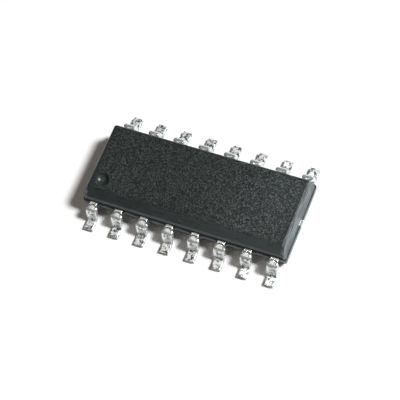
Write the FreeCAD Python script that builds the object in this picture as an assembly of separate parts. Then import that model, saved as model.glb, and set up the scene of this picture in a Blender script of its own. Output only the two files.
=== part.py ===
import FreeCAD, Part
import math
import os

# Sixteen-lead small-outline integrated circuit with gull-wing leads.
# The origin is on the seating plane, under the middle of the body.
# +X runs along the rows of leads, +Y points from the beveled side to the plain side, +Z is up.
# Lead 1 is at -X, -Y. The leads are numbered counter-clockwise as seen from above.

Vector = FreeCAD.Vector
UP = Vector(0, 0, 1)

# Lead rows, in millimetres
lead_pitch = 1.27
leads_per_side = 8
lead_reach = 1.05  # from the body to the toe
lead_thickness = 0.20

# Moulded body
body_width = 3.90  # at the parting band
end_margin = 0.54  # from the last lead's middle line to the body's end, at the parting band
standoff = 0.15  # from the seating plane to the underside
lower_height = 0.55  # from the underside to the lead frame
upper_height = 0.70  # from the lead frame to the top face
draft_deg = 13.0
corner_radius = 0.12  # of the upright corners, from above
edge_radius = 0.10  # round the top face and the underside

# Bevel along the top edge on the side of lead 1
bevel_width = 0.25
bevel_drop = 0.43

# Dimple that marks lead 1, on the top face
dimple_radius = 0.33  # at the rim
dimple_depth = 0.20
dimple_from_end = 0.59  # from the top face's short edge
dimple_from_side = 0.52  # from the bevel's upper edge

# Ejector-pin marks on the underside
ejector_mark_radius = 0.45
ejector_mark_depth = 0.03
ejector_mark_spacing = 5.20

# Gull wings
neck_width = 0.37
neck_length = 0.13  # from the body to the wide knee
neck_root = 0.20  # how far the neck's width carries on inside the body
bend_start = 0.155  # from the body to where the knee starts to bend
knee_width = 0.52  # where the dam bar was cut away
knee_height = 0.40  # from the lead's upper face to the lower end of the wide knee
knee_taper = 0.28  # height over which the knee narrows to the foot's width
foot_width = 0.42
bend_radius = 0.10  # on the inside of both bends
leg_lean_deg = 15.0  # from the vertical

# Webs of moulding compound left beside the necks
web_reach = 0.11  # how far a web runs out along a neck
web_run = 0.20  # how far a web's hollow curve runs along the body
web_edge = 0.02  # how far the web stands out midway between two necks

# Die paddle and its tie bars, one piece of the lead frame
paddle_length = 3.20
paddle_width = 2.20
paddle_downset = 0.20
tie_bar_width = 0.30
tie_bar_proud = 0.03
tie_bar_flat = 0.30  # level stretch between the paddle and the slope
tie_bar_slope = 0.40  # length of the slope along X

# Fingers of the leads, inside the body
finger_width = 0.28
finger_straight = 0.38  # how far a finger runs straight in before it turns
finger_gap = 0.24  # between the paddle and the finger tips
side_tip_pitch = 0.914  # spacing of the tips along the paddle's sides
end_fingers = 2  # fingers of one row that end at each end of the paddle
end_tip_first = 0.47  # from the middle line to the first tip at the paddle's end
end_tip_pitch = 0.52  # spacing of the tips at the paddle's ends
end_tip_straight = 0.55  # how far the shorter end finger runs straight to its tip
end_elbow_step = 0.45  # how much further out the next end finger has its elbow

# Die and the adhesive under it
die_length = 1.90
die_width = 1.50
die_thickness = 0.28
adhesive_thickness = 0.025
adhesive_foot = 0.05  # how far the adhesive spreads past the die at its foot
adhesive_head = 0.02  # and under the die
pad_inset = 0.09  # from the die's edges to the bond pads

# Bond wires
wire_diameter = 0.03
wire_sides = 8
ball_diameter = 0.08
ball_height = 0.02
wire_rise = 0.13  # from the ball to the bend above it
wire_crest = 0.12  # level stretch before the wire slopes down
stitch_length = 0.10
stitch_width = 0.06
stitch_height = 0.012
stitch_from_tip = 0.12  # from the finger's tip to the middle of the stitch

# Worked out from the sizes above
frame_bottom = standoff + lower_height
frame_top = frame_bottom + lead_thickness
body_top = frame_top + upper_height
draft = math.tan(math.radians(draft_deg))
lead_columns = [(i - (leads_per_side - 1) / 2) * lead_pitch for i in range(leads_per_side)]
half_length = lead_columns[-1] + end_margin
half_width = body_width / 2
toe_y = half_width + lead_reach
upper_inset = upper_height * draft
lower_inset = lower_height * draft
top_half_length = half_length - upper_inset
top_half_width = half_width - upper_inset
bevel_top_y = top_half_width - bevel_width
paddle_top = frame_top - paddle_downset
paddle_bottom = paddle_top - lead_thickness
adhesive_top = paddle_top + adhesive_thickness
die_top = adhesive_top + die_thickness

overlap = 0.05  # how far two shapes run into each other before they are fused
beyond = 1.0  # how far a cutting shape runs past what it cuts
tolerance = 1e-6


def box(low, high):
    """A box between two corners."""
    size = Vector(*high) - Vector(*low)
    return Part.makeBox(size.x, size.y, size.z, Vector(*low))


def prism(points, along):
    """A solid made by moving a closed outline of points along a vector."""
    outline = Part.makePolygon([Vector(*p) for p in points] + [Vector(*points[0])])
    return Part.Face(outline).extrude(along)


def mirror_to_near_side(shape):
    """The same shape on the -Y side."""
    return shape.mirror(Vector(0, 0, 0), Vector(0, 1, 0))


def rounded_rectangle(half_x, half_y, radius, z):
    """A closed wire of four lines and four arcs, level at height z."""
    quarter = [(1, 1, 0), (-1, 1, 90), (-1, -1, 180), (1, -1, 270)]
    arcs = []
    for side_x, side_y, start_deg in quarter:
        centre = Vector(side_x * (half_x - radius), side_y * (half_y - radius), z)
        angles = [math.radians(start_deg + turn_deg) for turn_deg in (0, 45, 90)]
        arcs.append([centre + Vector(math.cos(a), math.sin(a), 0) * radius for a in angles])
    edges = []
    for arc, following in zip(arcs, arcs[1:] + arcs[:1]):
        edges.append(Part.Arc(*arc).toShape())
        edges.append(Part.makeLine(arc[-1], following[0]))
    return Part.Wire(edges)


def body_section(inset, z):
    """The body's outline at one height, drawn in from the parting band by an inset."""
    return rounded_rectangle(half_length - inset, half_width - inset, corner_radius, z)


def moulded_block():
    """The body with its drafted sides, upright parting band and rounded corners."""
    sections = [
        body_section(lower_inset, standoff),
        body_section(0, frame_bottom),
        body_section(0, frame_top),
        body_section(upper_inset, body_top),
    ]
    layers = [Part.makeLoft([lower, upper], True, True) for lower, upper in zip(sections, sections[1:])]
    return layers[0].fuse(layers[1:]).removeSplitter()


def bevel_cutter():
    """A long wedge that takes off the top edge on the side of lead 1."""
    ridge_z = body_top - bevel_drop
    ridge_y = half_width - (ridge_z - frame_top) * draft
    run = ridge_y - bevel_top_y
    start_x = -half_length - beyond
    points = [
        (start_x, -(bevel_top_y - run), body_top + bevel_drop),
        (start_x, -(ridge_y + run), ridge_z - bevel_drop),
        (start_x, -(half_width + beyond), ridge_z - bevel_drop),
        (start_x, -(half_width + beyond), body_top + bevel_drop),
    ]
    return prism(points, Vector(2 * (half_length + beyond), 0, 0))


def soften_edges(block):
    """Rounds the edges round the top face and the underside."""
    edges = []
    for face in block.Faces:
        bounds = face.BoundBox
        at_end = bounds.ZMin > body_top - tolerance or bounds.ZMax < standoff + tolerance
        if at_end:
            edges += face.OuterWire.Edges
    return block.makeFillet(edge_radius, edges)


def dimple():
    """The ball that leaves a round dish near the corner of lead 1."""
    ball_radius = (dimple_radius**2 + dimple_depth**2) / (2 * dimple_depth)
    centre = Vector(
        -(top_half_length - dimple_from_end),
        -(bevel_top_y - dimple_from_side),
        body_top - dimple_depth + ball_radius,
    )
    return Part.makeSphere(ball_radius, centre)


def ejector_marks():
    """Two shallow round recesses in the underside."""
    marks = []
    for side in (-1, 1):
        top = Vector(side * ejector_mark_spacing / 2, 0, standoff + ejector_mark_depth)
        marks.append(Part.makeCylinder(ejector_mark_radius, ejector_mark_depth + beyond, top, -UP))
    return marks


def flash_web(left, right):
    """The compound left between two necks on the +Y side, with a hollow curve at each neck."""
    base = half_width - overlap
    edge = half_width + web_edge
    reach = half_width + web_reach
    rise = web_reach - web_edge
    radius = (web_run**2 + rise**2) / (2 * rise)
    half_angle = math.asin(web_run / radius) / 2
    middle_run = web_run - radius * math.sin(half_angle)
    middle_rise = radius * (1 - math.cos(half_angle))

    def at(x, y):
        return Vector(x, y, frame_bottom)

    left_arc = [
        at(left, reach),
        at(left + middle_run, edge + middle_rise),
        at(left + web_run, edge),
    ]
    right_arc = [
        at(right - web_run, edge),
        at(right - middle_run, edge + middle_rise),
        at(right, reach),
    ]
    outline = Part.Wire([
        Part.makeLine(at(left, base), left_arc[0]),
        Part.Arc(*left_arc).toShape(),
        Part.makeLine(left_arc[-1], right_arc[0]),
        Part.Arc(*right_arc).toShape(),
        Part.makeLine(right_arc[-1], at(right, base)),
        Part.makeLine(at(right, base), at(left, base)),
    ])
    return Part.Face(outline).extrude(UP * lead_thickness)


def flash_webs():
    """All the webs between neighbouring leads, on both sides."""
    webs = []
    for left, right in zip(lead_columns, lead_columns[1:]):
        web = flash_web(left + neck_width / 2, right - neck_width / 2)
        webs += [web, mirror_to_near_side(web)]
    return webs


def gull_wing_profile():
    """The side outline of a +Y lead's bent strip, in the YZ plane."""
    lean = math.radians(leg_lean_deg)
    turn = math.pi / 2 - lean
    outer_radius = bend_radius + lead_thickness
    middle_radius = bend_radius + lead_thickness / 2
    leg_drop = frame_bottom - 2 * middle_radius * (1 - math.cos(turn))
    leg_run = leg_drop * math.tan(lean)
    root_y = half_width - neck_root
    knee_y = half_width + bend_start
    heel_y = knee_y + 2 * middle_radius * math.sin(turn) + leg_run

    def knee(radius, angle):
        centre_z = frame_bottom - bend_radius
        return Vector(0, knee_y + radius * math.sin(angle), centre_z + radius * math.cos(angle))

    def heel(radius, angle):
        return Vector(0, heel_y - radius * math.sin(angle), outer_radius - radius * math.cos(angle))

    def bend(centre, radius, first, last):
        return Part.Arc(centre(radius, first), centre(radius, turn / 2), centre(radius, last)).toShape()

    return Part.Wire([
        Part.makeLine(Vector(0, root_y, frame_top), knee(outer_radius, 0)),
        bend(knee, outer_radius, 0, turn),
        Part.makeLine(knee(outer_radius, turn), heel(bend_radius, turn)),
        bend(heel, bend_radius, turn, 0),
        Part.makeLine(heel(bend_radius, 0), Vector(0, toe_y, lead_thickness)),
        Part.makeLine(Vector(0, toe_y, lead_thickness), Vector(0, toe_y, 0)),
        Part.makeLine(Vector(0, toe_y, 0), heel(outer_radius, 0)),
        bend(heel, outer_radius, 0, turn),
        Part.makeLine(heel(outer_radius, turn), knee(bend_radius, turn)),
        bend(knee, bend_radius, turn, 0),
        Part.makeLine(knee(bend_radius, 0), Vector(0, root_y, frame_bottom)),
        Part.makeLine(Vector(0, root_y, frame_bottom), Vector(0, root_y, frame_top)),
    ])


def gull_wing():
    """A bent strip that is narrow at the neck and wide at the knee, about X = 0."""
    strip = Part.Face(gull_wing_profile()).extrude(Vector(knee_width, 0, 0))
    strip.translate(Vector(-knee_width / 2, 0, 0))
    knee_start = half_width + neck_length
    knee_end = frame_top - knee_height
    neck_room = box(
        (-neck_width / 2, 0, -beyond),
        (neck_width / 2, knee_start, frame_top + beyond),
    )
    right_edge = [
        (foot_width / 2, -beyond),
        (foot_width / 2, knee_end - knee_taper),
        (knee_width / 2, knee_end),
        (knee_width / 2, frame_top + beyond),
    ]
    left_edge = [(-x, z) for x, z in reversed(right_edge)]
    front = [(x, knee_start, z) for x, z in right_edge + left_edge]
    leg_room = prism(front, Vector(0, lead_reach, 0))
    return strip.common(neck_room.fuse(leg_room)).removeSplitter()


def strip_outline(points, width):
    """The outline of a level strip of one width that follows points, with mitred turns."""
    headings = [(after - before).normalize() for before, after in zip(points, points[1:])]
    left = []
    right = []
    for point, before, after in zip(points, headings[:1] + headings, headings + headings[-1:]):
        across = UP.cross(before + after).normalize()
        reach = width / 2 / across.dot(UP.cross(before))
        left.append(point + across * reach)
        right.append(point - across * reach)
    return left + right[::-1]


def finger_route(column):
    """The middle line of a +Y lead's finger inside the body, from the neck to its tip."""
    x = lead_columns[column]
    outward = math.copysign(1, x)
    from_end = min(column, leads_per_side - 1 - column)
    start = Vector(x, half_width - neck_root + overlap, 0)
    turn = Vector(x, half_width - finger_straight, 0)
    if from_end >= end_fingers:
        tip = Vector(x / lead_pitch * side_tip_pitch, paddle_width / 2 + finger_gap, 0)
        return [start, turn, tip]
    tip = Vector(outward * (paddle_length / 2 + finger_gap), end_tip_first + from_end * end_tip_pitch, 0)
    elbow_run = end_tip_straight + (end_fingers - 1 - from_end) * end_elbow_step
    return [start, turn, tip + Vector(outward * elbow_run, 0, 0), tip]


def lead(column, side):
    """One lead: its gull wing outside and its finger inside. Side is 1 for the +Y row."""
    outline = [(p.x, p.y, frame_bottom) for p in strip_outline(finger_route(column), finger_width)]
    finger = prism(outline, UP * lead_thickness)
    wing = gull_wing()
    wing.translate(Vector(lead_columns[column], 0, 0))
    whole = wing.fuse(finger).removeSplitter()
    return whole if side > 0 else mirror_to_near_side(whole)


def die_paddle():
    """The plate that carries the die, with a tie bar that rises to the leads' level at each end."""
    plate = box(
        (-paddle_length / 2, -paddle_width / 2, paddle_bottom),
        (paddle_length / 2, paddle_width / 2, paddle_top),
    )
    slope_foot = paddle_length / 2 + tie_bar_flat
    slope_head = slope_foot + tie_bar_slope
    end = half_length + tie_bar_proud
    under = [
        (-end, frame_bottom),
        (-slope_head, frame_bottom),
        (-slope_foot, paddle_bottom),
        (slope_foot, paddle_bottom),
        (slope_head, frame_bottom),
        (end, frame_bottom),
    ]
    over = [(x, z + lead_thickness) for x, z in reversed(under)]
    side_view = [(x, -tie_bar_width / 2, z) for x, z in under + over]
    return plate.fuse(prism(side_view, Vector(0, tie_bar_width, 0))).removeSplitter()


def level_rectangle(half_x, half_y, z):
    """A closed rectangular wire, level at height z."""
    corners = [(half_x, half_y), (-half_x, half_y), (-half_x, -half_y), (half_x, -half_y), (half_x, half_y)]
    return Part.makePolygon([Vector(x, y, z) for x, y in corners])


def die_attach():
    """The layer of adhesive under the die, wider at its foot."""
    foot = level_rectangle(die_length / 2 + adhesive_foot, die_width / 2 + adhesive_foot, paddle_top)
    head = level_rectangle(die_length / 2 + adhesive_head, die_width / 2 + adhesive_head, adhesive_top)
    return Part.makeLoft([foot, head], True, True)


def silicon_die():
    """The chip itself."""
    return box((-die_length / 2, -die_width / 2, adhesive_top), (die_length / 2, die_width / 2, die_top))


def bond_pad(tip):
    """The middle of the pad on the die that lies nearest to a finger's tip."""
    limit_x = die_length / 2 - pad_inset
    limit_y = die_width / 2 - pad_inset
    share = 1 / max(abs(tip.x) / limit_x, abs(tip.y) / limit_y)
    return Vector(tip.x * share, tip.y * share, die_top)


def wire_section(diameter, centre):
    """The wire's many-sided outline, level about a centre."""
    turns = [2 * math.pi * i / wire_sides for i in range(wire_sides + 1)]
    return Part.makePolygon([centre + Vector(math.cos(t), math.sin(t), 0) * (diameter / 2) for t in turns])


def bond_wire(column, side):
    """One gold wire: ball on the die, rise, crest, slope, and a flat stitch on the finger."""
    route = finger_route(column)
    pad = bond_pad(route[-1])
    outward = (route[-2] - route[-1]).normalize()
    landing = route[-1] + outward * stitch_from_tip + UP * frame_top
    level = Vector(landing.x - pad.x, landing.y - pad.y, 0).normalize()
    start = pad + UP * (ball_height / 2)
    bend = pad + UP * (ball_height + wire_rise)
    path = Part.makePolygon([
        start,
        bend,
        bend + level * wire_crest,
        landing + UP * (wire_diameter / 2),
    ])
    square_corners = 1
    run = path.makePipeShell([wire_section(wire_diameter, start)], True, False, square_corners)
    ball = Part.Face(wire_section(ball_diameter, pad)).extrude(UP * ball_height)
    stitch = box(
        (-stitch_length / 2, -stitch_width / 2, 0),
        (stitch_length / 2, stitch_width / 2, stitch_height),
    )
    stitch.Placement = FreeCAD.Placement(landing, FreeCAD.Rotation(Vector(1, 0, 0), level))
    wire = ball.fuse([run, stitch]).removeSplitter()
    return wire if side > 0 else mirror_to_near_side(wire)


def numbered_leads():
    """Column and side of each lead, in the order of the lead numbers."""
    near = [(column, -1) for column in range(leads_per_side)]
    far = [(column, 1) for column in reversed(range(leads_per_side))]
    return near + far


def moulded_body(enclosed):
    """The block with its bevel, dimple, marks and webs, moulded closely round what it holds."""
    block = soften_edges(moulded_block().cut(bevel_cutter()))
    block = block.cut([dimple()] + ejector_marks())
    block = block.fuse(flash_webs()).removeSplitter()
    return block.cut(enclosed)


def build():
    """Every piece of the part, by name."""
    pieces = {
        "die_paddle": die_paddle(),
        "die_attach": die_attach(),
        "silicon_die": silicon_die(),
    }
    for number, (column, side) in enumerate(numbered_leads(), start=1):
        pieces[f"lead_{number:02d}"] = lead(column, side)
        pieces[f"bond_wire_{number:02d}"] = bond_wire(column, side)
    pieces["moulded_body"] = moulded_body(list(pieces.values()))
    return pieces


def main():
    os.makedirs("parts", exist_ok=True)
    for name, shape in build().items():
        shape.exportStep(f"parts/{name}.step")


main()
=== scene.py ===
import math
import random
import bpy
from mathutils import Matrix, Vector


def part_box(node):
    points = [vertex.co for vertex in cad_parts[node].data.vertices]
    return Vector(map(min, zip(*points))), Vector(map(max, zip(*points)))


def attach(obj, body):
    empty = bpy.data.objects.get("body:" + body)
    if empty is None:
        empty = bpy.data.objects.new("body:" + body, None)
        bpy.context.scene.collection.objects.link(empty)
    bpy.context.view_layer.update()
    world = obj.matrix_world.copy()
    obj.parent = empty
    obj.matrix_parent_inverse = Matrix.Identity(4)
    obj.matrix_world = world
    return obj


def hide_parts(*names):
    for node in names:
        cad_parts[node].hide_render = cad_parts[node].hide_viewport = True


bl_info = {
    "name": "Small-outline chip",
    "version": (1, 0, 0),
    "blender": (4, 5, 0),
    "location": "View3D > Sidebar > Chip",
    "description": "Dresses a sixteen-lead chip: moulding, gull-wing leads, inner parts and studio",
    "category": "Object",
}

import bmesh
import bpy
from bpy.props import FloatProperty, FloatVectorProperty, IntProperty, PointerProperty
from mathutils import Matrix, Vector, noise

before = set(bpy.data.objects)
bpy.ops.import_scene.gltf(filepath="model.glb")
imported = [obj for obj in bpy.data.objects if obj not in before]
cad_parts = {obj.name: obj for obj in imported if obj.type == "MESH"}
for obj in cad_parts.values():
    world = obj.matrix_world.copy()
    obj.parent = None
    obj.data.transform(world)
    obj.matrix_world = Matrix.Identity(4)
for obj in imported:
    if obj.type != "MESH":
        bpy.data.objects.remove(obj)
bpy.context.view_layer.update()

# Pieces are made in millimetres and scaled to metres when they are done.
MM = 0.001
# Points nearer than this are one point, in millimetres.
WELD = 1e-5
LEADS_PER_SIDE = 8
LEAD_NAMES = [f"lead_{number:02d}" for number in range(1, 2 * LEADS_PER_SIDE + 1)]
WIRE_NAMES = [f"bond_wire_{number:02d}" for number in range(1, 2 * LEADS_PER_SIDE + 1)]
SMOOTH_ANGLE = math.radians(32)


def millimetres(corner):
    """A point of the frame in millimetres."""
    return Vector(corner) / MM


BODY_LOW, BODY_HIGH = (millimetres(corner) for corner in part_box("moulded_body"))
PADDLE_END = millimetres(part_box("die_paddle")[1]).x
TOE_Y = max(abs(millimetres(corner).y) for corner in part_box("lead_01"))


# Settings


class ChipBodySettings(bpy.types.PropertyGroup):
    """Sizes of the moulding."""

    half_width: FloatProperty(name="Half width", description="At the parting band, in mm", default=1.95)
    half_length: FloatProperty(
        name="Half length", description="At the parting band, in mm", default=4.985
    )
    draft: FloatProperty(
        name="Draft", description="Lean of the sides", default=math.radians(13), subtype="ANGLE"
    )
    band_low: FloatProperty(
        name="Band low", description="Lower edge of the parting band, in mm", default=0.70
    )
    band_high: FloatProperty(
        name="Band high", description="Upper edge of the parting band, in mm", default=0.90
    )
    corner: FloatProperty(
        name="Corner", description="Radius of the upright corners, in mm", default=0.12
    )
    edge: FloatProperty(
        name="Edge", description="Radius round the top face and underside, in mm", default=0.17
    )
    bevel_width: FloatProperty(
        name="Bevel width", description="Along the top face, in mm", default=0.25
    )
    bevel_drop: FloatProperty(name="Bevel drop", description="Height of the bevel, in mm", default=0.43)
    ridge: FloatProperty(
        name="Ridge", description="Half the width of the bevel's rounded foot, in mm", default=0.15
    )
    crest: FloatProperty(
        name="Crest", description="Half the width of the bevel's rounded top, in mm", default=0.11
    )
    ledge: FloatProperty(
        name="Ledge", description="Width of the step where the mould halves meet, in mm", default=0.04
    )
    dimple_radius: FloatProperty(name="Dimple radius", description="At its rim, in mm", default=0.33)
    dimple_depth: FloatProperty(name="Dimple depth", description="In mm", default=0.20)
    dimple_from_end: FloatProperty(
        name="Dimple from end", description="From the top face's end, in mm", default=0.59
    )
    dimple_from_bevel: FloatProperty(
        name="Dimple from bevel", description="From the bevel's upper edge, in mm", default=0.52
    )
    mark_radius: FloatProperty(name="Ejector mark radius", description="In mm", default=0.45)
    mark_depth: FloatProperty(name="Ejector mark depth", description="In mm", default=0.03)
    mark_spacing: FloatProperty(name="Ejector mark spacing", description="In mm", default=5.2)
    web_reach: FloatProperty(
        name="Web reach", description="How far a web runs out along a neck, in mm", default=0.11
    )
    web_run: FloatProperty(
        name="Web run", description="Length of a web's hollow curve, in mm", default=0.20
    )
    web_edge: FloatProperty(
        name="Web edge", description="Reach midway between two necks, in mm", default=0.03
    )


class ChipLeadSettings(bpy.types.PropertyGroup):
    """Sizes of a lead outside the moulding."""

    thickness: FloatProperty(name="Thickness", description="In mm", default=0.20)
    pitch: FloatProperty(name="Pitch", description="Spacing of the leads, in mm", default=1.27)
    neck_width: FloatProperty(name="Neck width", description="In mm", default=0.37)
    neck_length: FloatProperty(
        name="Neck length", description="From the body to the wide knee, in mm", default=0.13
    )
    bend_start: FloatProperty(
        name="Bend start", description="From the body to the first bend, in mm", default=0.155
    )
    knee_width: FloatProperty(name="Knee width", description="In mm", default=0.52)
    knee_height: FloatProperty(
        name="Knee height", description="Down from the lead's top, in mm", default=0.40
    )
    knee_taper: FloatProperty(name="Knee taper", description="Height of the taper, in mm", default=0.28)
    foot_width: FloatProperty(name="Foot width", description="In mm", default=0.42)
    bend_radius: FloatProperty(
        name="Bend radius", description="Inside of both bends, in mm", default=0.10
    )
    lean: FloatProperty(
        name="Lean", description="Of the leg, from upright", default=math.radians(15), subtype="ANGLE"
    )
    groove_y: FloatProperty(
        name="Groove", description="From the part's middle to the knee's groove, in mm", default=2.035
    )
    groove_bow: FloatProperty(
        name="Groove bow", description="How fast the groove bows outwards across the lead", default=2.2
    )
    edge: FloatProperty(name="Edge", description="Radius of the stamped edges, in mm", default=0.022)


class ChipFinishSettings(bpy.types.PropertyGroup):
    """Colours of the visible materials."""

    compound: FloatVectorProperty(
        name="Compound",
        description="Black moulding",
        default=(0.0150, 0.0192, 0.0180),
        subtype="COLOR",
        size=3,
    )
    tin: FloatVectorProperty(
        name="Tin",
        description="Plating of the leads",
        default=(0.91, 0.94, 0.925),
        subtype="COLOR",
        size=3,
    )
    copper: FloatVectorProperty(
        name="Copper",
        description="Bare lead frame",
        default=(0.72, 0.42, 0.28),
        subtype="COLOR",
        size=3,
    )


class ChipStudioSettings(bpy.types.PropertyGroup):
    """Camera, lamps and floor."""

    azimuth: FloatProperty(
        name="Azimuth",
        description="Camera's bearing",
        default=math.radians(41.8818),
        subtype="ANGLE",
    )
    elevation: FloatProperty(
        name="Elevation",
        description="Camera's height angle",
        default=math.radians(62.4942),
        subtype="ANGLE",
    )
    roll: FloatProperty(
        name="Roll",
        description="Camera's roll",
        default=math.radians(-21.8572),
        subtype="ANGLE",
    )
    distance: FloatProperty(name="Distance", description="Camera to origin, in mm", default=66.8059)
    aim_right: FloatProperty(name="Aim right", description="In mm", default=-0.083)
    aim_up: FloatProperty(name="Aim up", description="In mm", default=0.036)
    lens: FloatProperty(name="Lens", description="Focal length in mm", default=131.9)
    key_strength: FloatProperty(name="Key", description="Floor light from the key lamp", default=0.97)
    window_strength: FloatProperty(
        name="Window", description="Floor light from the strip window overhead", default=0.10
    )
    spot_strength: FloatProperty(
        name="Spot", description="Light on the right end from the spot", default=0.15
    )
    sky_strength: FloatProperty(name="Sky", description="Light from all round", default=0.012)
    front_strength: FloatProperty(name="Front", description="Light from low in front", default=0.18)
    floor_reach: FloatProperty(
        name="Floor reach", description="Half the floor's side, in mm", default=600.0
    )
    seed: IntProperty(name="Seed", description="Draws the small differences between leads", default=16)


# Shader building


class Signal:
    """One output of a shader tree, so that sums and products of outputs read as plain arithmetic."""

    def __init__(self, tree, socket):
        self.tree = tree
        self.socket = socket

    def maths(self, operation, *others):
        """A Math node of one operation, with this output first."""
        inputs = dict(enumerate((self,) + others))
        return self.tree.node("ShaderNodeMath", {"operation": operation}, inputs)

    def __add__(self, other):
        return self.maths("ADD", other)

    __radd__ = __add__

    def __mul__(self, other):
        return self.maths("MULTIPLY", other)

    __rmul__ = __mul__

    def __sub__(self, other):
        return self.maths("SUBTRACT", other)

    def __rsub__(self, other):
        return self.tree.node("ShaderNodeMath", {"operation": "SUBTRACT"}, {0: other, 1: self})

    def __truediv__(self, other):
        return self.maths("DIVIDE", other)

    def __abs__(self):
        return self.maths("ABSOLUTE")

    def clamped(self):
        """The output held between 0 and 1."""
        return self.tree.node("ShaderNodeClamp", {}, {"Value": self})

    def step(self, low, high):
        """0 below low, 1 above high, and a smooth rise between them."""
        settings = {"interpolation_type": "SMOOTHSTEP"}
        inputs = {"Value": self, "From Min": low, "From Max": high}
        return self.tree.node("ShaderNodeMapRange", settings, inputs)

    def between(self, rise, fall):
        """1 between two ranges of low and high, rising across the first and falling across the second."""
        return self.step(*rise) * (1 - self.step(*fall))


class ShaderTree:
    """The nodes of a material or of the world."""

    def __init__(self, tree):
        self.nodes = tree.nodes
        self.links = tree.links

    def set_input(self, socket, value):
        """Links an output to a socket, or sets the socket's own value."""
        if isinstance(value, Signal):
            self.links.new(value.socket, socket)
        elif socket.type == "RGBA" and len(value) == 3:
            socket.default_value = (*value, 1.0)
        else:
            socket.default_value = value

    def node(self, kind, settings, inputs, output=0):
        """A node of one type: its settings first, then the values or links of its sockets."""
        made = self.nodes.new(kind)
        for key, value in settings.items():
            setattr(made, key, value)
        for key, value in inputs.items():
            self.set_input(made.inputs[key], value)
        return Signal(self, made.outputs[output])


class Finish(ShaderTree):
    """A material with a Principled shader, and the nodes that feed it."""

    def __init__(self, name, **constants):
        self.material = bpy.data.materials.new(name)
        self.material.use_nodes = True
        super().__init__(self.material.node_tree)
        self.shader = self.nodes["Principled BSDF"]
        for socket, value in constants.items():
            self.feed(socket.replace("_", " "), value)

    def feed(self, name, value):
        """Feeds a socket of the Principled shader."""
        self.set_input(self.shader.inputs[name], value)

    def place(self):
        """Where a point lies on the piece, in millimetres."""
        where = self.node("ShaderNodeTexCoord", {}, {}, "Object")
        return self.node("ShaderNodeVectorMath", {"operation": "SCALE"}, {0: where, "Scale": 1 / MM})

    def stretched(self, where, factors):
        """A place scaled by a factor along each axis."""
        return self.node("ShaderNodeVectorMath", {"operation": "MULTIPLY"}, {0: where, 1: factors})

    def axis(self, where, letter):
        """One coordinate of a place."""
        return self.node("ShaderNodeSeparateXYZ", {}, {0: where}, letter)

    def cloud(self, where, per_mm, detail=2.0, roughness=0.5):
        """Soft noise from 0 to 1, with about per_mm lumps to a millimetre."""
        inputs = {"Vector": where, "Scale": per_mm, "Detail": detail, "Roughness": roughness}
        return self.node("ShaderNodeTexNoise", {"noise_dimensions": "3D"}, inputs)

    def cells(self, where, per_mm, feature="F1", output="Distance"):
        """Cells round scattered points: the distance to the nearest point, or a colour for each cell."""
        inputs = {"Vector": where, "Scale": per_mm}
        return self.node("ShaderNodeTexVoronoi", {"feature": feature}, inputs, output)

    def blend(self, factor, first, second):
        """A colour between two, as a Mix node's numbered sockets take it."""
        settings = {"data_type": "RGBA"}
        return self.node("ShaderNodeMix", settings, {0: factor, 6: first, 7: second}, 2)

    def bump(self, height, depth_mm, strength=1.0, under=None):
        """A bump from a height between 0 and 1, depth_mm deep, over another bump where one is given."""
        inputs = {"Height": height, "Distance": depth_mm * MM, "Strength": strength}
        if under is not None:
            inputs["Normal"] = under
        return self.node("ShaderNodeBump", {}, inputs)


# Finishes


def shade(colour, factor, lift=0.0):
    """A colour made darker or paler by a factor, then lifted."""
    return tuple(channel * factor + lift for channel in colour)


def textured_compound(colour):
    """Black compound off a spark-eroded mould: matte and pebbled, with light specks of filler."""
    # The specks thin out towards the bevel and the ends, across these places in millimetres.
    bevel_fade, end_fade = (-1.60, -1.25), (4.45, 4.80)
    finish = Finish("compound_textured", Specular_IOR_Level=0.26, Coat_Roughness=0.36, Coat_IOR=1.6)
    where = finish.place()
    grain = finish.cloud(where, 11.0, 3.0, 0.8)
    lumps = finish.cloud(where, 13.0, 2.0, 0.6)
    fine = finish.cloud(where, 30.0, 2.0, 0.6)
    patches = finish.cloud(where, 0.5, 2.0, 0.5).step(0.35, 0.7)
    behind_bevel = finish.axis(where, "Y").step(*bevel_fade)
    off_ends = 1 - abs(finish.axis(where, "X")).step(*end_fade)
    facets = finish.axis(finish.cells(where, 24.0, "F1", "Color"), "X")
    specks = facets.step(0.55, 0.95) * (0.35 + 0.65 * behind_bevel * off_ends)
    tone = finish.blend(grain.step(0.40, 0.60), shade(colour, 0.45), shade(colour, 1.7))
    tone = finish.blend(patches * 0.4, tone, shade(colour, 1.3, 0.004))
    finish.feed("Base Color", finish.blend(specks, tone, (0.050, 0.056, 0.056)))
    finish.feed("Roughness", 0.40 - 0.1 * specks)
    finish.feed("Coat Weight", 0.9 * specks)
    pebbles = finish.bump(finish.cells(where, 12.0), 0.004, 0.9)
    finish.feed("Normal", finish.bump(lumps + 0.3 * fine, 0.012, 1.0, pebbles))
    return finish.material


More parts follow.
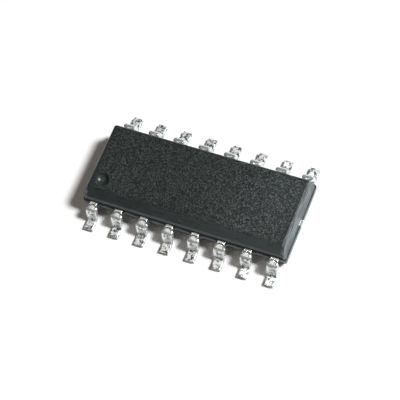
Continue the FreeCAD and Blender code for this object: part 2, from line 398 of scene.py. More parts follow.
def smooth_compound(colour):
    """The same compound off ground steel: the bevel, the short ends and the parting band. The ends are
    painted pale as a painted reflection, and the bevel is painted paler towards the right end as painted
    light.
    """
    # The ends start across the first range of X, where they are painted pale as a painted reflection of
    # the lit floor and key lamp; the bevel is painted paler across the second range, as painted light
    # from the pool over the right end.
    end_start, painted_light_run = (4.68, 4.80), (-4.0, 5.5)
    finish = Finish("compound_smooth", Specular_IOR_Level=0.95, Specular_Tint=(0.84, 0.95, 1.0, 1.0))
    where = finish.place()
    grain = finish.cloud(where, 14.0, 3.0, 0.6)
    drag = finish.cloud(finish.stretched(where, (1.2, 1.2, 16.0)), 1.0, 3.0, 0.6)
    scuffs = finish.cloud(where, 1.6, 3.0, 0.6).step(0.5, 0.75)
    end = abs(finish.axis(where, "X")).step(*end_start)
    painted_light_towards_end = finish.axis(where, "X").step(*painted_light_run)
    tone = finish.blend(grain.step(0.35, 0.7), shade(colour, 0.35), shade(colour, 0.75))
    # Painted light: paler towards the right end, where the spot's pool of light falls.
    tone = finish.blend(painted_light_towards_end, tone, shade(colour, 2.2))
    # Painted reflection: both short ends are painted pale, standing for the lit floor and key lamp that
    # they mirror.
    tone = finish.blend(end, tone, shade(colour, 3.0))
    streaks = drag.step(0.45, 0.60) * (0.08 + 0.92 * end)
    finish.feed("Base Color", finish.blend(streaks, tone, (0.17, 0.182, 0.192)))
    finish.feed("Roughness", 0.20 + 0.20 * drag + 0.08 * scuffs)
    finish.feed("Normal", finish.bump(grain + (0.4 + 1.6 * end) * drag, 0.008, 0.7))
    return finish.material


def dull_compound(colour):
    """The same compound on the long sides and the ledge: dull, and painted pale higher up as a painted
    highlight under the ridge.
    """
    painted_highlight_height = (0.99, 1.07)
    finish = Finish("compound_dull", Specular_IOR_Level=0.40)
    where = finish.place()
    grain = finish.cloud(where, 12.0, 3.0, 0.7)
    drag = finish.cloud(finish.stretched(where, (2.0, 2.0, 18.0)), 1.0, 2.0, 0.5)
    # Painted highlight: the side just under the ridge is painted pale in streaks, standing for the lit
    # floor that it mirrors.
    wear_and_highlight = finish.axis(where, "Z").step(*painted_highlight_height) * (0.5 + 0.5 * drag)
    tone = finish.blend(grain.step(0.3, 0.7), shade(colour, 0.8), shade(colour, 2.0))
    finish.feed("Base Color", finish.blend(wear_and_highlight, tone, (0.17, 0.18, 0.185)))
    finish.feed("Roughness", 0.60 + 0.2 * drag)
    finish.feed("Normal", finish.bump(grain, 0.012, 0.8))
    return finish.material


def polished_compound(colour):
    """The same compound where a polished pin stood: the dimple and the ejector marks."""
    finish = Finish("compound_polished", Specular_IOR_Level=0.5)
    where = finish.place()
    turned = finish.cloud(where, 22.0, 2.0, 0.5)
    scuffs = finish.cloud(where, 5.0, 3.0, 0.6).step(0.45, 0.7)
    finish.feed("Base Color", finish.blend(scuffs, shade(colour, 1.6), shade(colour, 2.6)))
    finish.feed("Roughness", 0.27 + 0.1 * scuffs)
    finish.feed("Normal", finish.bump(turned, 0.004, 0.7))
    return finish.material


def tin_plating(tin, leads):
    """Bright tin, rubbed dull over the knee and the foot, with painted shade in the groove before the
    knee, and a cut toe.
    """
    # Heights over the board, in millimetres, across which each stretch of a lead fades in and out.
    level_rise, foot_fall = (0.80, 0.84), (0.205, 0.26)
    knee_rise, knee_fall = (0.46, 0.56), (0.76, 0.84)
    heel_rise, heel_fall = (0.19, 0.22), (0.30, 0.40)
    finish = Finish("tin_plating")
    where = finish.place()
    along = finish.axis(where, "X") / leads.pitch
    across = abs(along.maths("FRACT") - 0.5) * leads.pitch
    out = abs(finish.axis(where, "Y"))
    height = finish.axis(where, "Z")
    mottle = finish.cloud(where, 15.0, 3.0, 0.7)
    flecks = finish.cloud(where, 8.0, 3.0, 0.7)
    scores = finish.cloud(finish.stretched(where, (5.0, 30.0, 30.0)), 1.0, 2.0, 0.6)
    middle = 1 - across.step(leads.knee_width * 0.22, leads.knee_width * 0.42)
    rubbed = middle * height.between(knee_rise, knee_fall)
    wear_and_highlight = (rubbed * (0.35 * mottle + flecks).step(0.62, 0.74)).clamped()
    heel = height.between(heel_rise, heel_fall) * flecks.step(0.46, 0.56)
    flat = 1 - height.step(*foot_fall)
    foot = flat * (flecks.step(0.50, 0.57) + scores.step(0.56, 0.64))
    # Painted shade: the groove across the lead before the knee is painted dark.
    arc = abs(out - leads.groove_y - leads.groove_bow * across * across)
    groove = (1 - arc.step(0.010, 0.034)) * height.step(*level_rise)
    cut = out.step(TOE_Y - 0.05, TOE_Y - 0.005)
    worn_and_shaded_tin, cut_tin = shade(tin, 0.09), shade(tin, 0.15)
    tone = finish.blend(mottle.step(0.5, 0.8) * 0.2, tin, shade(tin, 0.7))
    tone = finish.blend(wear_and_highlight * 0.8, tone, worn_and_shaded_tin)
    # Wear marks on the heel and foot, and painted shade in the groove.
    tone = finish.blend((heel * 0.85 + foot * 0.9 + groove * 0.9).clamped(), tone, worn_and_shaded_tin)
    tone = finish.blend(cut * flecks.step(0.46, 0.56) * 0.8, tone, cut_tin)
    finish.feed("Base Color", tone)
    finish.feed("Metallic", 0.76 - 0.3 * flat)
    finish.feed("Roughness", 0.20 + 0.10 * mottle + 0.14 * wear_and_highlight + 0.1 * cut)
    crystals = finish.bump(finish.cells(where, 24.0), 0.0012, 0.6)
    finish.feed("Normal", finish.bump(scores, 0.0022, 0.7, crystals))
    return finish.material


def frame_copper(copper, tin):
    """Copper alloy strip with rolling lines, and a tinned smear on the tie bars' cut ends."""
    finish = Finish("frame_copper", Metallic=1.0)
    where = finish.place()
    rolled = finish.cloud(finish.stretched(where, (1.5, 40.0, 40.0)), 1.0, 2.0, 0.6)
    stain = finish.cloud(where, 3.0, 3.0, 0.6).step(0.4, 0.7)
    smear_start, smear_full = PADDLE_END - 0.13, PADDLE_END - 0.11
    end = abs(finish.axis(where, "X")).step(smear_start, smear_full)
    tone = finish.blend(rolled.step(0.3, 0.7), shade(copper, 0.7), copper)
    tone = finish.blend(stain * 0.3, tone, (0.35, 0.18, 0.10))
    finish.feed("Base Color", finish.blend(end, tone, tin))
    finish.feed("Roughness", 0.28 + 0.2 * rolled + 0.1 * stain)
    finish.feed("Normal", finish.bump(rolled, 0.002, 0.5))
    return finish.material


def silver_epoxy():
    """Grey adhesive full of silver flakes."""
    finish = Finish("silver_epoxy", Specular_IOR_Level=0.5)
    where = finish.place()
    flakes = 1 - finish.cells(where, 30.0).step(0.1, 0.5)
    swirl = finish.cloud(where, 6.0, 3.0, 0.6)
    finish.feed("Base Color", finish.blend(swirl, (0.42, 0.42, 0.40), (0.62, 0.62, 0.60)))
    finish.feed("Metallic", flakes * 0.8)
    finish.feed("Roughness", 0.35 + 0.25 * swirl)
    finish.feed("Normal", finish.bump(flakes, 0.003, 0.5))
    return finish.material


def die_silicon():
    """Polished silicon with a faint pattern of circuit blocks and lines."""
    finish = Finish("die_silicon", Specular_IOR_Level=0.8)
    where = finish.place()
    blocks = finish.cells(finish.stretched(where, (1.0, 1.6, 0.0)), 5.0, "F1", "Color")
    lines = finish.cells(where, 9.0, "DISTANCE_TO_EDGE").step(0.02, 0.06)
    tone = finish.blend(lines, (0.16, 0.13, 0.10), (0.07, 0.08, 0.10))
    finish.feed("Base Color", finish.blend(0.08, tone, blocks))
    finish.feed("Roughness", 0.12 + 0.12 * lines)
    finish.feed("Normal", finish.bump(lines, 0.001, 0.4))
    return finish.material


def wire_gold():
    """Drawn gold wire with faint draw lines."""
    finish = Finish("wire_gold", Metallic=1.0)
    where = finish.place()
    drawn = finish.cloud(where, 45.0, 2.0, 0.6)
    finish.feed("Base Color", finish.blend(drawn, (0.90, 0.60, 0.20), (0.98, 0.74, 0.34)))
    finish.feed("Roughness", 0.18 + 0.14 * drawn)
    finish.feed("Normal", finish.bump(drawn, 0.001, 0.4))
    return finish.material


# Mesh building, in millimetres


def rounded_ring(half_x, half_y, radius, z, steps=8):
    """Points round a level rectangle with rounded corners, counter-clockwise from above."""
    points = []
    for quarter, (side_x, side_y) in enumerate(((1, 1), (-1, 1), (-1, -1), (1, -1))):
        centre = Vector((side_x * (half_x - radius), side_y * (half_y - radius), z))
        for step in range(steps + 1):
            turn = math.pi / 2 * (quarter + step / steps)
            points.append(centre + radius * Vector((math.cos(turn), math.sin(turn), 0)))
    return points


def skin(mesh, rings):
    """Joins rings of points into one closed skin, with a flat face over each end."""
    loops = [[mesh.verts.new(point) for point in ring] for ring in rings]
    faces = []
    for near, far in zip(loops, loops[1:]):
        for here, there, far_there, far_here in zip(near, near[1:] + near[:1], far[1:] + far[:1], far):
            faces.append(mesh.faces.new((here, there, far_there, far_here)))
    faces.append(mesh.faces.new(loops[0][::-1]))
    faces.append(mesh.faces.new(loops[-1]))
    return faces


def lathe_rings(profile, centre, steps=64):
    """Rings for a turned shape from a profile of radius and height, about an upright axis."""
    turns = [2 * math.pi * step / steps for step in range(steps)]
    return [
        [centre + Vector((radius * math.cos(turn), radius * math.sin(turn), z)) for turn in turns]
        for radius, z in profile
    ]


def cut_off(mesh, point, outward):
    """Cuts away what lies beyond a plane and closes the cut with one face."""
    everything = mesh.verts[:] + mesh.edges[:] + mesh.faces[:]
    bmesh.ops.bisect_plane(
        mesh, geom=everything, plane_co=point, plane_no=outward, clear_outer=True, dist=WELD
    )
    bmesh.ops.edgeloop_fill(mesh, edges=[edge for edge in mesh.edges if edge.is_boundary])


def object_from(mesh, name):
    """An object made from a bmesh, with its faces turned outwards."""
    bmesh.ops.recalc_face_normals(mesh, faces=mesh.faces)
    data = bpy.data.meshes.new(name)
    mesh.to_mesh(data)
    mesh.free()
    made = bpy.data.objects.new(name, data)
    bpy.context.scene.collection.objects.link(made)
    return made


def cut_or_join(target, tool, operation):
    """Applies a Boolean of one object to another and removes the tool."""
    modifier = target.modifiers.new(operation.lower(), "BOOLEAN")
    modifier.operation = operation
    modifier.solver = "EXACT"
    modifier.object = tool
    graph = bpy.context.evaluated_depsgraph_get()
    old = target.data
    target.data = bpy.data.meshes.new_from_object(target.evaluated_get(graph))
    target.modifiers.clear()
    bpy.data.meshes.remove(old)
    bpy.data.objects.remove(tool)


def settle(piece, slot, *nodes):
    """Scales a finished piece to metres, shades it and puts it in place of its nodes."""
    mesh = bmesh.new()
    mesh.from_mesh(piece.data)
    bmesh.ops.remove_doubles(mesh, verts=mesh.verts, dist=WELD)
    bmesh.ops.scale(mesh, vec=(MM, MM, MM), verts=mesh.verts)
    for face in mesh.faces:
        face.smooth = True
    for edge in mesh.edges:
        finishes = {face.material_index for face in edge.link_faces}
        inside_one_finish = len(edge.link_faces) == 2 and len(finishes) == 1
        edge.smooth = inside_one_finish and edge.calc_face_angle(0) < SMOOTH_ANGLE
    mesh.to_mesh(piece.data)
    mesh.free()
    weighted = piece.modifiers.new("flat_faces_stay_flat", "WEIGHTED_NORMAL")
    weighted.keep_sharp = True
    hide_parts(*nodes)
    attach(piece, "root")
    return piece


# Moulded body

TEXTURED, SMOOTH, POLISHED, DULL = range(4)


def top_side(body):
    """The lean of the upper sides above the step, and their inset at the top face."""
    height = BODY_HIGH.z - body.band_high
    inset = height * math.tan(body.draft)
    return math.atan((inset - body.ledge) / height), inset


def bevel_plane(body):
    """A point on the long bevel and its outward direction."""
    top_y = body.half_width - top_side(body)[1] - body.bevel_width
    ridge_z = BODY_HIGH.z - body.bevel_drop
    ridge_y = body.half_width - (ridge_z - body.band_high) * math.tan(body.draft)
    outward = Vector((0, -body.bevel_drop, ridge_y - top_y)).normalized()
    return Vector((0, -top_y, BODY_HIGH.z)), outward


def bevel_edges(mesh, outward, at_top):
    """The long edges of the bevel: its upper edge on the top face, or its lower edge on the side."""
    same_way = 0.99
    found = []
    for edge in mesh.edges:
        along = (edge.verts[1].co - edge.verts[0].co).normalized()
        on_bevel = [face for face in edge.link_faces if face.normal.dot(outward) > same_way]
        level = [face for face in edge.link_faces if face.normal.z > same_way]
        if abs(along.x) > same_way and len(on_bevel) == 1 and bool(level) == at_top:
            found.append(edge)
    return found


def rim_levels(body, corner_inset, lean, face_z, inwards):
    """Height, inset and plan radius round a rim, from the level face to the side."""
    tangent = body.edge * math.tan(math.pi / 4 - lean / 2)
    least_radius, steps = 0.02, 6
    levels = []
    for step in range(steps + 1):
        turn = math.pi / 2 + (lean - math.pi / 2) * step / steps
        inset = corner_inset + tangent - body.edge * math.cos(turn)
        rise = inwards * body.edge * (1 - math.sin(turn))
        levels.append((face_z + rise, inset))
    side_inset = levels[-1][1]
    return [(z, inset, max(body.corner + side_inset - inset, least_radius)) for z, inset in levels]


def face_finish(face, body):
    """The finish that the mould left on a face, told by where it looks and how high it lies."""
    on_ledge = face.normal.z > 0.8 and face.calc_center_median().z < body.band_high
    on_long_side = abs(face.normal.y) > 0.95 and 0.1 < abs(face.normal.z) < 0.24
    if on_ledge or on_long_side:
        return DULL
    if face.normal.z > 0.7 or face.normal.z < -0.99:
        return TEXTURED
    return SMOOTH


def moulding_block(body):
    """The drafted block with rounded rims, a step at the parting and its long bevel."""
    step_height = 0.015
    top_lean, top_inset = top_side(body)
    low_inset = (body.band_low - BODY_LOW.z) * math.tan(body.draft)
    levels = rim_levels(body, low_inset, body.draft, BODY_LOW.z, 1)
    levels += [
        (body.band_low, 0.0, body.corner),
        (body.band_high - step_height, 0.0, body.corner),
        (body.band_high, body.ledge, body.corner),
    ]
    levels += reversed(rim_levels(body, top_inset, top_lean, BODY_HIGH.z, -1))
    rings = []
    for z, inset, radius in levels:
        rings.append(rounded_ring(body.half_length - inset, body.half_width - inset, radius, z))
    mesh = bmesh.new()
    skin(mesh, rings)
    point, outward = bevel_plane(body)
    cut_off(mesh, point, outward)
    bmesh.ops.recalc_face_normals(mesh, faces=mesh.faces)
    for at_top, offset in ((False, body.ridge), (True, body.crest)):
        edges = bevel_edges(mesh, outward, at_top)
        if not edges:
            raise RuntimeError("the long bevel has lost an edge")
        bmesh.ops.bevel(mesh, geom=edges, offset=offset, segments=5, profile=0.5, affect="EDGES")
    for face in mesh.faces:
        face.material_index = face_finish(face, body)
    return object_from(mesh, "moulding_detail")


def dimple_tool(body):
    """The shape that leaves the round dish: a ball's cap with a softened rim."""
    inset = top_side(body)[1]
    rim_width, rim_depth = 0.012, 0.004
    overrun_width, overrun = 0.03, 0.2
    centre = Vector((
        -(body.half_length - inset - body.dimple_from_end),
        -(body.half_width - inset - body.bevel_width - body.dimple_from_bevel),
        BODY_HIGH.z,
    ))
    ball = (body.dimple_radius**2 + body.dimple_depth**2) / (2 * body.dimple_depth)
    reach = math.asin(body.dimple_radius / ball)
    steps = 14
    profile = []
    for step in range(1, steps + 1):
        turn = reach * step / steps
        profile.append((ball * math.sin(turn), ball - body.dimple_depth - ball * math.cos(turn)))
    profile += [
        (body.dimple_radius + rim_width, rim_depth),
        (body.dimple_radius + overrun_width, overrun),
    ]
    mesh = bmesh.new()
    for face in skin(mesh, lathe_rings(profile, centre)):
        face.material_index = POLISHED
    return object_from(mesh, "dimple_tool")


def ejector_tool(body):
    """Two short pins that leave the round marks in the underside, each with a slightly sunk edge."""
    mesh = bmesh.new()
    overrun = 0.3
    shoulder, floor = body.mark_depth * 0.7, body.mark_depth * 0.85
    profile = (
        (body.mark_radius, -overrun),
        (body.mark_radius, shoulder),
        (body.mark_radius - 0.02, body.mark_depth),
        (body.mark_radius - 0.05, body.mark_depth),
        (body.mark_radius - 0.07, floor),
        (0.01, floor),
    )
    for side in (-1, 1):
        centre = Vector((side * body.mark_spacing / 2, 0, BODY_LOW.z))
        for face in skin(mesh, lathe_rings(profile, centre)):
            face.material_index = POLISHED
    return object_from(mesh, "ejector_tool")


def web_outline(body, left, right, side, draw):
    """Corner points of one web from above: a torn edge with a hollow curve at each neck."""
    curve_steps, edge_steps = 8, 9
    tear_depth, tears_per_mm, sunk = 0.016, 7, 0.06
    rise = body.web_reach - body.web_edge
    radius = (body.web_run**2 + rise**2) / (2 * rise)
    curve = []
    for step in range(curve_steps + 1):
        x = body.web_run * step / curve_steps
        curve.append((x, body.web_edge + radius - math.sqrt(radius**2 - (body.web_run - x) ** 2)))
    tear = draw.uniform(-0.5, 0.5)
    edge = [(left + x, y) for x, y in curve]
    span = right - left - 2 * body.web_run
    for step in range(1, edge_steps):
        edge.append((left + body.web_run + span * step / edge_steps, body.web_edge))
    edge += [(right - x, y) for x, y in reversed(curve)]
    torn = []
    for x, y in edge:
        rough = noise.noise(Vector((x * tears_per_mm + tear, side * 5.0, tear))) * tear_depth
        torn.append((x, min(y + rough, body.web_reach)))
    base = [(right, -sunk), (left, -sunk)]
    return [(x, side * (body.half_width + y)) for x, y in torn + base]


def web_tool(body, leads, draw):
    """The thin webs of compound left beside the necks, widest low on the band."""
    into_neck, upper_part = 0.01, 0.10
    # Each level's height, and how far the web's edge stands in there.
    level_insets = (
        (body.band_low + 0.004, 0.006),
        (body.band_low + 0.014, 0.0),
        (body.band_low + 0.075, 0.020),
        (body.band_low + 0.11, 0.040),
        (body.band_high - 0.05, 0.075),
        (body.band_high - 0.02, 0.095),
    )
    mesh = bmesh.new()
    first = -leads.pitch * (LEADS_PER_SIDE - 1) / 2
    for side in (-1, 1):
        for gap in range(LEADS_PER_SIDE - 1):
            left = first + gap * leads.pitch + leads.neck_width / 2 - into_neck
            right = first + (gap + 1) * leads.pitch - leads.neck_width / 2 + into_neck
            outline = web_outline(body, left, right, side, draw)
            rings = []
            for z, inset in level_insets:
                rings.append([Vector((x, y - side * inset, z)) for x, y in outline])
            for face in skin(mesh, rings):
                upper = face.calc_center_median().z > body.band_low + upper_part
                face.material_index = DULL if upper else SMOOTH
    return object_from(mesh, "web_tool")


# Leads


def shares(steps):
    """Even shares of a run, from 0 up to the last step before 1."""
    return [step / steps for step in range(steps)]


def lead_stations(body, leads):
    """A +Y lead's middle line from just inside the body: out, up and dip below level at each station."""
    sunk, toe_shares = 0.06, (0.0, 0.2, 0.4, 0.6, 0.8, 0.97, 1.0)
    neck_steps, knee_steps, leg_steps, heel_steps = 16, 14, 8, 12
    turn = math.pi / 2 - leads.lean
    radius = leads.bend_radius + leads.thickness / 2
    level = body.band_high - leads.thickness / 2
    foot = leads.thickness / 2
    drop = level - foot - 2 * radius * (1 - math.cos(turn))
    knee_y = body.half_width + leads.bend_start
    heel_y = knee_y + 2 * radius * math.sin(turn) + drop * math.tan(leads.lean)
    root_y = body.half_width - sunk
    stations = []
    for share in shares(neck_steps):
        stations.append((root_y + (knee_y - root_y) * share, level, 0.0))
    for share in shares(knee_steps):
        dip = turn * share
        stations.append((knee_y + radius * math.sin(dip), level - radius * (1 - math.cos(dip)), dip))
    leg_top = (knee_y + radius * math.sin(turn), level - radius * (1 - math.cos(turn)))
    leg_foot = (heel_y - radius * math.sin(turn), foot + radius * (1 - math.cos(turn)))
    for share in shares(leg_steps):
        out = leg_top[0] + (leg_foot[0] - leg_top[0]) * share
        up = leg_top[1] + (leg_foot[1] - leg_top[1]) * share
        stations.append((out, up, turn))
    for share in shares(heel_steps):
        dip = turn * (1 - share)
        stations.append((heel_y - radius * math.sin(dip), foot + radius * (1 - math.cos(dip)), dip))
    for share in toe_shares:
        stations.append((heel_y + (TOE_Y - heel_y) * share, foot, 0.0))
    return stations


def eased(value, low, high):
    """0 below low, 1 above high, and a smooth rise between them."""
    share = min(max((value - low) / (high - low), 0.0), 1.0)
    return share * share * (3 - 2 * share)


def lead_section(leads, half_width, edge):
    """Points round a lead's section, across and up, with its upper edges rolled more than its lower."""
    corner_steps, top_steps = 3, 8
    half = leads.thickness / 2
    corners = (
        (half_width, half, edge, 0),
        (-half_width, half, edge, 1),
        (-half_width, -half, edge * 0.5, 2),
        (half_width, -half, edge * 0.5, 3),
    )
    points = []
    for across, up, radius, quarter in corners:
        centre_x = across - math.copysign(radius, across)
        centre_z = up - math.copysign(radius, up)
        for step in range(corner_steps + 1):
            turn = math.pi / 2 * (quarter + step / corner_steps)
            points.append((centre_x + radius * math.cos(turn), centre_z + radius * math.sin(turn)))
        if quarter == 0:
            span = half_width - radius
            points += [(span * (1 - 2 * step / top_steps), half) for step in range(1, top_steps)]
    return points


def lead_rings(body, leads, draw):
    """The rings of a +Y lead's bent strip about X = 0, with small differences of its own."""
    groove_from_knee, groove_side, groove_edge = 0.045, 0.006, 0.036
    toe_rounding, crown, pitting, ragged = 0.012, 0.010, 0.004, 0.007
    lumps_across, lumps_along, lumps_through = 3, 14, 9
    flare_before, flare_after, taper_before = 0.03, 0.07, 0.02
    level_until, bent_from = 0.3, 0.6
    knee_start = body.half_width + leads.neck_length
    knee_end = body.band_high - leads.knee_height
    stub = draw.uniform(-0.010, 0.006)
    groove = draw.uniform(0.024, 0.034)
    phase = draw.uniform(0, 50)
    stations = lead_stations(body, leads)
    rings = []
    for place, (out, up, dip) in enumerate(stations):
        widen = eased(out, knee_start - flare_before, knee_start + flare_after)
        narrow = eased(knee_end - up, -taper_before, leads.knee_taper)
        half_width = leads.neck_width / 2 + (leads.knee_width / 2 + stub - leads.neck_width / 2) * widen
        half_width += (leads.foot_width - leads.knee_width) / 2 * narrow
        sheared = widen * (1 - narrow)
        last = place == len(stations) - 1
        edge = leads.edge + (toe_rounding if last else 0)
        level = 1 - eased(dip, level_until, bent_from)
        ring = []
        for across, rise in lead_section(leads, half_width, edge):
            through = up * lumps_along + rise * lumps_through
            rough = noise.noise(Vector((phase + across * lumps_across, out * lumps_along, through)))
            if rise > 0:
                bow = leads.groove_bow * across * across
                from_groove = abs(out - knee_start + groove_from_knee - bow)
                rise -= groove * (1 - eased(from_groove, groove_side, groove_edge)) * level
                rise -= crown * sheared * (across / half_width) ** 2
                rise += pitting * rough
            across += math.copysign(ragged * sheared * rough, across)
            ring.append(Vector((across, out + rise * math.sin(dip), up + rise * math.cos(dip))))
        rings.append(ring)
    return rings


def finger_mesh(node, limit):
    """The part of a lead's solid that lies inside the body, and the side that the lead is on."""
    nearest = 1e-4
    mesh = bmesh.new()
    mesh.from_mesh(node.data)
    bmesh.ops.scale(mesh, vec=(1 / MM, 1 / MM, 1 / MM), verts=mesh.verts)
    bmesh.ops.remove_doubles(mesh, verts=mesh.verts, dist=nearest)
    side = 1 if sum(vertex.co.y for vertex in mesh.verts) > 0 else -1
    cut_off(mesh, (0, side * limit, 0), (0, side, 0))
    bmesh.ops.dissolve_limit(mesh, angle_limit=math.radians(1), verts=mesh.verts, edges=mesh.edges)
    data = bpy.data.meshes.new("finger")
    mesh.to_mesh(data)
    mesh.free()
    return data, side


def formed_lead(name, body, leads, draw):
    """One lead: the bent strip outside the body and the finger inside it."""
    overlap = 0.04
    finger, side = finger_mesh(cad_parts[name], body.half_width - overlap)
    number = LEAD_NAMES.index(name)
    column = number if side < 0 else 2 * LEADS_PER_SIDE - 1 - number
    centre_x = (column - (LEADS_PER_SIDE - 1) / 2) * leads.pitch
    mesh = bmesh.new()
    rings = []
    for ring in lead_rings(body, leads, draw):
        rings.append([Vector((point.x + centre_x, side * point.y, point.z)) for point in ring])
    skin(mesh, rings)
    mesh.from_mesh(finger)
    bpy.data.meshes.remove(finger)
    return object_from(mesh, f"{name}_formed")


# Studio


def lamp_power(share, distance, cosine):
    """The power of a flat lamp that lights a white floor to a share of white."""
    return share * math.pi**2 * distance**2 / cosine


def studio_floor(studio):
    """A wide sheet of white paper just under the feet."""
    gap_under_feet = 0.0002
    seen_white, mirrored_white = (1.0, 0.985, 0.965), (0.86, 0.86, 0.855)
    mesh = bmesh.new()
    bmesh.ops.create_grid(mesh, x_segments=4, y_segments=4, size=studio.floor_reach * MM)
    bmesh.ops.translate(mesh, vec=(0, 0, -gap_under_feet * MM), verts=mesh.verts)
    floor = object_from(mesh, "studio_floor")
    finish = Finish("studio_paper", Roughness=0.9, Specular_IOR_Level=0.0)
    seen = finish.node("ShaderNodeLightPath", {}, {}, "Is Camera Ray")
    fibres = finish.cloud(finish.place(), 0.4, 2.0, 0.5) * 0.004
    finish.feed("Base Color", finish.blend(seen, mirrored_white, seen_white))
    finish.feed("Normal", finish.bump(fibres, 0.001, 0.05))
    floor.data.materials.append(finish.material)


def studio_world(studio):
    """Faint warm light from all round, and stronger light from low in front."""
    in_front = (0.35, -0.90, 0.25)
    world = bpy.data.worlds.new("studio_world")
    bpy.context.scene.world = world
    world.use_nodes = True
    tree = ShaderTree(world.node_tree)
    tree.nodes.remove(tree.nodes["Background"])
    direction = tree.node("ShaderNodeTexCoord", {}, {}, "Generated")
    settings = {"operation": "DOT_PRODUCT"}
    facing = tree.node("ShaderNodeVectorMath", settings, {0: direction, 1: in_front}, "Value")
    sky = {"Color": (1.0, 0.74, 0.46), "Strength": studio.sky_strength}
    front = {"Color": (1.0, 0.92, 0.82), "Strength": studio.front_strength}
    around, ahead = (tree.node("ShaderNodeBackground", {}, light) for light in (sky, front))
    mixed = tree.node("ShaderNodeMixShader", {}, {0: facing.step(0.45, 0.95), 1: around, 2: ahead})
    tree.set_input(tree.nodes["World Output"].inputs["Surface"], mixed)


def soft_light(name, place, share, colour):
    """The light of a flat lamp that gives the floor at the origin a share of white."""
    data = bpy.data.lights.new(name, "AREA")
    data.energy = lamp_power(share, place.length * MM, place.normalized().z)
    data.color = colour
    return data


def hang(name, data, place, turn):
    """Puts a lamp at a place, turned by a matrix whose last column points away from what it lights."""
    lamp = bpy.data.objects.new(name, data)
    bpy.context.scene.collection.objects.link(lamp)
    lamp.matrix_world = Matrix.Translation(place * MM) @ turn.to_4x4()


def studio_key(studio):
    """The key lamp: a round soft box high up beyond the right end."""
    place, size = Vector((550, 190, 687)), 190
    data = soft_light("key_lamp", place, studio.key_strength, (0.955, 0.97, 1.0))
    data.shape = "DISK"
    data.size = size * MM
    hang("key_lamp", data, place, place.to_track_quat("Z", "Y").to_matrix())


def studio_strip(studio):
    """A long narrow window overhead that runs from behind the chip to in front of it."""
    place, width, length = Vector((-146, -75, 471)), 120, 650
    data = soft_light("window_lamp", place, studio.window_strength, (1.0, 0.95, 0.87))
    data.shape = "RECTANGLE"
    data.size = width * MM
    data.size_y = length * MM
    out = place.normalized()
    across = Vector((0, 1, 0)).cross(out).normalized()
    hang("window_lamp", data, place, Matrix((across, out.cross(across), out)).transposed())


def studio_spot(studio):
    """A spot behind the chip whose soft pool of light lies over the right end."""
    target, pool_radius, bulb_radius, distance = Vector((4.8, -0.1, BODY_HIGH.z)), 2.7, 3, 60
    reach = Vector((-0.262, 0.357, 0.897)).normalized() * distance
    # A spot's power is reckoned over a whole ball, so it takes four times a flat lamp's.
    ball_share = 4
    data = bpy.data.lights.new("end_spot", "SPOT")
    data.spot_size = 2 * math.atan(pool_radius / distance)
    data.spot_blend = 1.0
    data.shadow_soft_size = bulb_radius * MM
    flat_power = lamp_power(studio.spot_strength, distance * MM, reach.z / distance)
    data.energy = ball_share * flat_power
    data.color = (0.90, 0.98, 1.0)
    hang("end_spot", data, target + reach, reach.to_track_quat("Z", "Y").to_matrix())


def studio_camera(studio):
    """The camera of the photograph."""
    azimuth, elevation, roll = studio.azimuth, studio.elevation, studio.roll
    back = Vector((
        math.sin(azimuth) * math.cos(elevation),
        -math.cos(azimuth) * math.cos(elevation),
        math.sin(elevation),
    ))
    level = Vector((math.cos(azimuth), math.sin(azimuth), 0))
    upright = back.cross(level)
    right = math.cos(roll) * level + math.sin(roll) * upright
    up = math.cos(roll) * upright - math.sin(roll) * level
    data = bpy.data.cameras.new("photo_camera")
    data.sensor_width = 36
    data.lens = studio.lens
    data.clip_start = 0.001
    data.clip_end = 10
    camera = bpy.data.objects.new("photo_camera", data)
    bpy.context.scene.collection.objects.link(camera)
    place = (right * studio.aim_right + up * studio.aim_up + back * studio.distance) * MM
    turn = Matrix((right, up, back)).transposed()
    camera.matrix_world = Matrix.Translation(place) @ turn.to_4x4()
    bpy.context.scene.camera = camera


# Operators and panel


class CHIP_OT_moulding(bpy.types.Operator):
    """Make the moulded body with its bevel, dimple, ejector marks and webs"""

    bl_idname = "object.chip_moulding"
    bl_label = "Moulded body"

    def execute(self, context):
        body, leads = context.scene.chip_body, context.scene.chip_leads
        draw = random.Random(context.scene.chip_studio.seed)
        colour = tuple(context.scene.chip_finish.compound)
        makers = (textured_compound, smooth_compound, polished_compound, dull_compound)
        materials = [make(colour) for make in makers]
        piece = moulding_block(body)
        tools = {
            dimple_tool(body): "DIFFERENCE",
            ejector_tool(body): "DIFFERENCE",
            web_tool(body, leads, draw): "UNION",
        }
        for made in (piece, *tools):
            for material in materials:
                made.data.materials.append(material)
        for tool, operation in tools.items():
            cut_or_join(piece, tool, operation)
        if not piece.data.polygons:
            raise RuntimeError("the moulded body came out empty")
        settle(piece, "mould_compound", "moulded_body")
        return {"FINISHED"}


class CHIP_OT_leads(bpy.types.Operator):
    """Make the two rows of tinned gull-wing leads"""

    bl_idname = "object.chip_leads"
    bl_label = "Leads"

    def execute(self, context):
        scene = context.scene
        finish = scene.chip_finish
        draw = random.Random(scene.chip_studio.seed + 1)
        tin = tin_plating(tuple(finish.tin), scene.chip_leads)
        for name in LEAD_NAMES:
            piece = formed_lead(name, scene.chip_body, scene.chip_leads, draw)
            if not piece.data.polygons:
                raise RuntimeError(f"{name} came out empty")
            piece.data.materials.append(tin)
            settle(piece, "lead_tin", name)
        return {"FINISHED"}


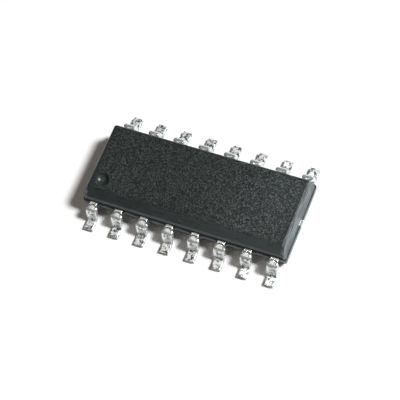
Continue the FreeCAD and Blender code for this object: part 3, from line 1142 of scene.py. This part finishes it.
class CHIP_OT_inner_parts(bpy.types.Operator):
    """Give the paddle, adhesive, die and bond wires their finishes"""

    bl_idname = "object.chip_inner_parts"
    bl_label = "Inner parts"

    def execute(self, context):
        finish = context.scene.chip_finish
        materials = {
            "die_paddle": frame_copper(tuple(finish.copper), tuple(finish.tin)),
            "die_attach": silver_epoxy(),
            "silicon_die": die_silicon(),
        }
        gold = wire_gold()
        for name in WIRE_NAMES:
            materials[name] = gold
        for name, material in materials.items():
            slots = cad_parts[name].material_slots
            if not slots:
                raise RuntimeError(f"{name} has no material slot")
            for slot in slots:
                slot.material = material
        return {"FINISHED"}


class CHIP_OT_studio(bpy.types.Operator):
    """Lay the white floor and place the lamps and the camera"""

    bl_idname = "object.chip_studio"
    bl_label = "Studio"

    def execute(self, context):
        studio = context.scene.chip_studio
        context.scene.view_settings.view_transform = "Standard"
        studio_floor(studio)
        studio_world(studio)
        studio_key(studio)
        studio_strip(studio)
        studio_spot(studio)
        studio_camera(studio)
        if context.scene.camera is None:
            raise RuntimeError("the camera is missing")
        return {"FINISHED"}


class CHIP_PT_sidebar(bpy.types.Panel):
    """The steps that build the dressed chip"""

    bl_label = "Small-outline chip"
    bl_space_type = "VIEW_3D"
    bl_region_type = "UI"
    bl_category = "Chip"

    def draw(self, context):
        column = self.layout.column()
        for step in STEPS:
            column.operator(step.bl_idname)
        column.prop(context.scene.chip_finish, "compound")
        column.prop(context.scene.chip_finish, "tin")
        column.prop(context.scene.chip_studio, "seed")


STEPS = (CHIP_OT_moulding, CHIP_OT_leads, CHIP_OT_inner_parts, CHIP_OT_studio)
GROUPS = {
    "chip_body": ChipBodySettings,
    "chip_leads": ChipLeadSettings,
    "chip_finish": ChipFinishSettings,
    "chip_studio": ChipStudioSettings,
}


def register():
    for group in GROUPS.values():
        bpy.utils.register_class(group)
    for name, group in GROUPS.items():
        setattr(bpy.types.Scene, name, PointerProperty(type=group))
    for made in STEPS + (CHIP_PT_sidebar,):
        bpy.utils.register_class(made)


def unregister():
    for made in reversed(STEPS + (CHIP_PT_sidebar,)):
        bpy.utils.unregister_class(made)
    for name in GROUPS:
        delattr(bpy.types.Scene, name)
    for group in reversed(GROUPS.values()):
        bpy.utils.unregister_class(group)


def main():
    register()
    bpy.ops.object.chip_moulding()
    bpy.ops.object.chip_leads()
    bpy.ops.object.chip_inner_parts()
    bpy.ops.object.chip_studio()


if __name__ == "__main__":
    main()
